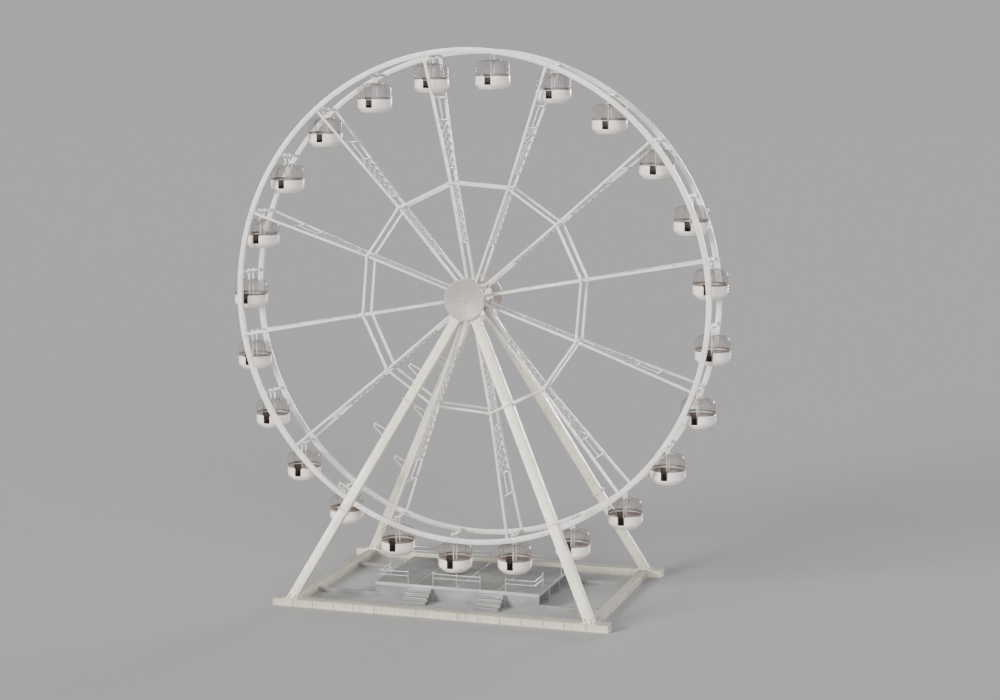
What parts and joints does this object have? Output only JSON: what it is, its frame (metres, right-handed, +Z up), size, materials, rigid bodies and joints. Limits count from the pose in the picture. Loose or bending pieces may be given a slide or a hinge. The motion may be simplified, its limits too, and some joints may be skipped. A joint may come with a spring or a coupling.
{
  "type": "observation wheel",
  "caption": "Fairground wheel: paired rims on lattice spokes between leaning box legs, with round canopied cabins hanging level from cross beams over a boarding deck.",
  "frame": {"origin": "middle of the stand's footprint, at ground level, midway between the two rims", "axes": "+Z up, the shaft along Y, the boarding side facing -Y, +X to the right seen from the boarding side"},
  "size_m": [31.67, 14.3068, 33.1884],
  "materials": {
    "rim_paint": "satin pale grey paint",
    "spoke_paint": "satin pale grey paint",
    "hub_paint": "weathered grey paint",
    "leg_paint": "satin cream paint",
    "base_paint": "worn cream paint",
    "deck_plate": "checkered tread plate",
    "rail_paint": "galvanised",
    "cabin_shell": "glossy pinkish-white fibreglass"
  },
  "bodies": {
    "stand": {"leg_front_left": "leg_paint", "leg_front_right": "leg_paint", "leg_rear_left": "leg_paint", "leg_rear_right": "leg_paint", "bearing_front": "leg_paint", "bearing_rear": "leg_paint", "hub_cover_front": "hub_paint", "hub_cover_rear": "hub_paint", "ground_beam_front": "base_paint", "ground_beam_rear": "base_paint", "ground_beam_left": "base_paint", "ground_beam_right": "base_paint", "boarding_deck": "deck_plate", "rail_left": "rail_paint", "rail_right": "rail_paint", "rail_front": "rail_paint", "rail_rear": "rail_paint"},
    "wheel": {"spoke_01": "spoke_paint", "spoke_02": "spoke_paint", "spoke_03": "spoke_paint", "spoke_04": "spoke_paint", "spoke_05": "spoke_paint", "spoke_06": "spoke_paint", "spoke_07": "spoke_paint", "spoke_08": "spoke_paint", "spoke_09": "spoke_paint", "spoke_10": "spoke_paint", "spoke_11": "spoke_paint", "spoke_12": "spoke_paint", "rim_segment_01": "rim_paint", "rim_segment_02": "rim_paint", "rim_segment_03": "rim_paint", "tie_ring_front": "spoke_paint", "tie_ring_rear": "spoke_paint", "hub": "hub_paint"},
    "cabin_01": {"cabin_01": "cabin_shell"},
    "cabin_02": {"cabin_02": "cabin_shell"},
    "cabin_03": {"cabin_03": "cabin_shell"},
    "cabin_04": {"cabin_04": "cabin_shell"},
    "cabin_05": {"cabin_05": "cabin_shell"},
    "cabin_06": {"cabin_06": "cabin_shell"},
    "cabin_07": {"cabin_07": "cabin_shell"},
    "cabin_08": {"cabin_08": "cabin_shell"},
    "cabin_09": {"cabin_09": "cabin_shell"},
    "cabin_10": {"cabin_10": "cabin_shell"},
    "cabin_11": {"cabin_11": "cabin_shell"},
    "cabin_12": {"cabin_12": "cabin_shell"},
    "cabin_13": {"cabin_13": "cabin_shell"},
    "cabin_14": {"cabin_14": "cabin_shell"},
    "cabin_15": {"cabin_15": "cabin_shell"},
    "cabin_16": {"cabin_16": "cabin_shell"},
    "cabin_17": {"cabin_17": "cabin_shell"},
    "cabin_18": {"cabin_18": "cabin_shell"},
    "cabin_19": {"cabin_19": "cabin_shell"},
    "cabin_20": {"cabin_20": "cabin_shell"},
    "cabin_21": {"cabin_21": "cabin_shell"},
    "cabin_22": {"cabin_22": "cabin_shell"},
    "cabin_23": {"cabin_23": "cabin_shell"},
    "cabin_24": {"cabin_24": "cabin_shell"}
  },
  "joints": [
    {"name": "wheel_spin", "type": "hinge", "parent": "stand", "child": "wheel", "pos_m": [0, 0, 18.2], "axis": [0, 1, 0], "continuous": true},
    {"name": "cabin_01_swing", "type": "hinge", "parent": "wheel", "child": "cabin_01", "pos_m": [14.58926, 0, 20.83817], "axis": [0, 1, 0], "continuous": true},
    {"name": "cabin_02_swing", "type": "hinge", "parent": "wheel", "child": "cabin_02", "pos_m": [13.40934, 0, 24.52426], "axis": [0, 1, 0], "continuous": true},
    {"name": "cabin_03_swing", "type": "hinge", "parent": "wheel", "child": "cabin_03", "pos_m": [11.31559, 0, 27.77935], "axis": [0, 1, 0], "continuous": true},
    {"name": "cabin_04_swing", "type": "hinge", "parent": "wheel", "child": "cabin_04", "pos_m": [8.4507, 0, 30.38164], "axis": [0, 1, 0], "continuous": true},
    {"name": "cabin_05_swing", "type": "hinge", "parent": "wheel", "child": "cabin_05", "pos_m": [5.00991, 0, 32.15376], "axis": [0, 1, 0], "continuous": true},
    {"name": "cabin_06_swing", "type": "hinge", "parent": "wheel", "child": "cabin_06", "pos_m": [1.2277, 0, 32.97496], "axis": [0, 1, 0], "continuous": true},
    {"name": "cabin_07_swing", "type": "hinge", "parent": "wheel", "child": "cabin_07", "pos_m": [-2.63817, 0, 32.78926], "axis": [0, 1, 0], "continuous": true},
    {"name": "cabin_08_swing", "type": "hinge", "parent": "wheel", "child": "cabin_08", "pos_m": [-6.32426, 0, 31.60934], "axis": [0, 1, 0], "continuous": true},
    {"name": "cabin_09_swing", "type": "hinge", "parent": "wheel", "child": "cabin_09", "pos_m": [-9.57935, 0, 29.51559], "axis": [0, 1, 0], "continuous": true},
    {"name": "cabin_10_swing", "type": "hinge", "parent": "wheel", "child": "cabin_10", "pos_m": [-12.18164, 0, 26.6507], "axis": [0, 1, 0], "continuous": true},
    {"name": "cabin_11_swing", "type": "hinge", "parent": "wheel", "child": "cabin_11", "pos_m": [-13.95376, 0, 23.20991], "axis": [0, 1, 0], "continuous": true},
    {"name": "cabin_12_swing", "type": "hinge", "parent": "wheel", "child": "cabin_12", "pos_m": [-14.77496, 0, 19.4277], "axis": [0, 1, 0], "continuous": true},
    {"name": "cabin_13_swing", "type": "hinge", "parent": "wheel", "child": "cabin_13", "pos_m": [-14.58926, 0, 15.56183], "axis": [0, 1, 0], "continuous": true},
    {"name": "cabin_14_swing", "type": "hinge", "parent": "wheel", "child": "cabin_14", "pos_m": [-13.40934, 0, 11.87574], "axis": [0, 1, 0], "continuous": true},
    {"name": "cabin_15_swing", "type": "hinge", "parent": "wheel", "child": "cabin_15", "pos_m": [-11.31559, 0, 8.62065], "axis": [0, 1, 0], "continuous": true},
    {"name": "cabin_16_swing", "type": "hinge", "parent": "wheel", "child": "cabin_16", "pos_m": [-8.4507, 0, 6.01836], "axis": [0, 1, 0], "continuous": true},
    {"name": "cabin_17_swing", "type": "hinge", "parent": "wheel", "child": "cabin_17", "pos_m": [-5.00991, 0, 4.24624], "axis": [0, 1, 0], "continuous": true},
    {"name": "cabin_18_swing", "type": "hinge", "parent": "wheel", "child": "cabin_18", "pos_m": [-1.2277, 0, 3.42504], "axis": [0, 1, 0], "continuous": true},
    {"name": "cabin_19_swing", "type": "hinge", "parent": "wheel", "child": "cabin_19", "pos_m": [2.63817, 0, 3.61074], "axis": [0, 1, 0], "continuous": true},
    {"name": "cabin_20_swing", "type": "hinge", "parent": "wheel", "child": "cabin_20", "pos_m": [6.32426, 0, 4.79066], "axis": [0, 1, 0], "continuous": true},
    {"name": "cabin_21_swing", "type": "hinge", "parent": "wheel", "child": "cabin_21", "pos_m": [9.57935, 0, 6.88441], "axis": [0, 1, 0], "continuous": true},
    {"name": "cabin_22_swing", "type": "hinge", "parent": "wheel", "child": "cabin_22", "pos_m": [12.18164, 0, 9.7493], "axis": [0, 1, 0], "continuous": true},
    {"name": "cabin_23_swing", "type": "hinge", "parent": "wheel", "child": "cabin_23", "pos_m": [13.95376, 0, 13.19009], "axis": [0, 1, 0], "continuous": true},
    {"name": "cabin_24_swing", "type": "hinge", "parent": "wheel", "child": "cabin_24", "pos_m": [14.77496, 0, 16.9723], "axis": [0, 1, 0], "continuous": true}
  ],
  "couplings": [
    {"joint": "cabin_01_swing", "follows": "wheel_spin", "ratio": -1},
    {"joint": "cabin_02_swing", "follows": "wheel_spin", "ratio": -1},
    {"joint": "cabin_03_swing", "follows": "wheel_spin", "ratio": -1},
    {"joint": "cabin_04_swing", "follows": "wheel_spin", "ratio": -1},
    {"joint": "cabin_05_swing", "follows": "wheel_spin", "ratio": -1},
    {"joint": "cabin_06_swing", "follows": "wheel_spin", "ratio": -1},
    {"joint": "cabin_07_swing", "follows": "wheel_spin", "ratio": -1},
    {"joint": "cabin_08_swing", "follows": "wheel_spin", "ratio": -1},
    {"joint": "cabin_09_swing", "follows": "wheel_spin", "ratio": -1},
    {"joint": "cabin_10_swing", "follows": "wheel_spin", "ratio": -1},
    {"joint": "cabin_11_swing", "follows": "wheel_spin", "ratio": -1},
    {"joint": "cabin_12_swing", "follows": "wheel_spin", "ratio": -1},
    {"joint": "cabin_13_swing", "follows": "wheel_spin", "ratio": -1},
    {"joint": "cabin_14_swing", "follows": "wheel_spin", "ratio": -1},
    {"joint": "cabin_15_swing", "follows": "wheel_spin", "ratio": -1},
    {"joint": "cabin_16_swing", "follows": "wheel_spin", "ratio": -1},
    {"joint": "cabin_17_swing", "follows": "wheel_spin", "ratio": -1},
    {"joint": "cabin_18_swing", "follows": "wheel_spin", "ratio": -1},
    {"joint": "cabin_19_swing", "follows": "wheel_spin", "ratio": -1},
    {"joint": "cabin_20_swing", "follows": "wheel_spin", "ratio": -1},
    {"joint": "cabin_21_swing", "follows": "wheel_spin", "ratio": -1},
    {"joint": "cabin_22_swing", "follows": "wheel_spin", "ratio": -1},
    {"joint": "cabin_23_swing", "follows": "wheel_spin", "ratio": -1},
    {"joint": "cabin_24_swing", "follows": "wheel_spin", "ratio": -1}
  ]
}
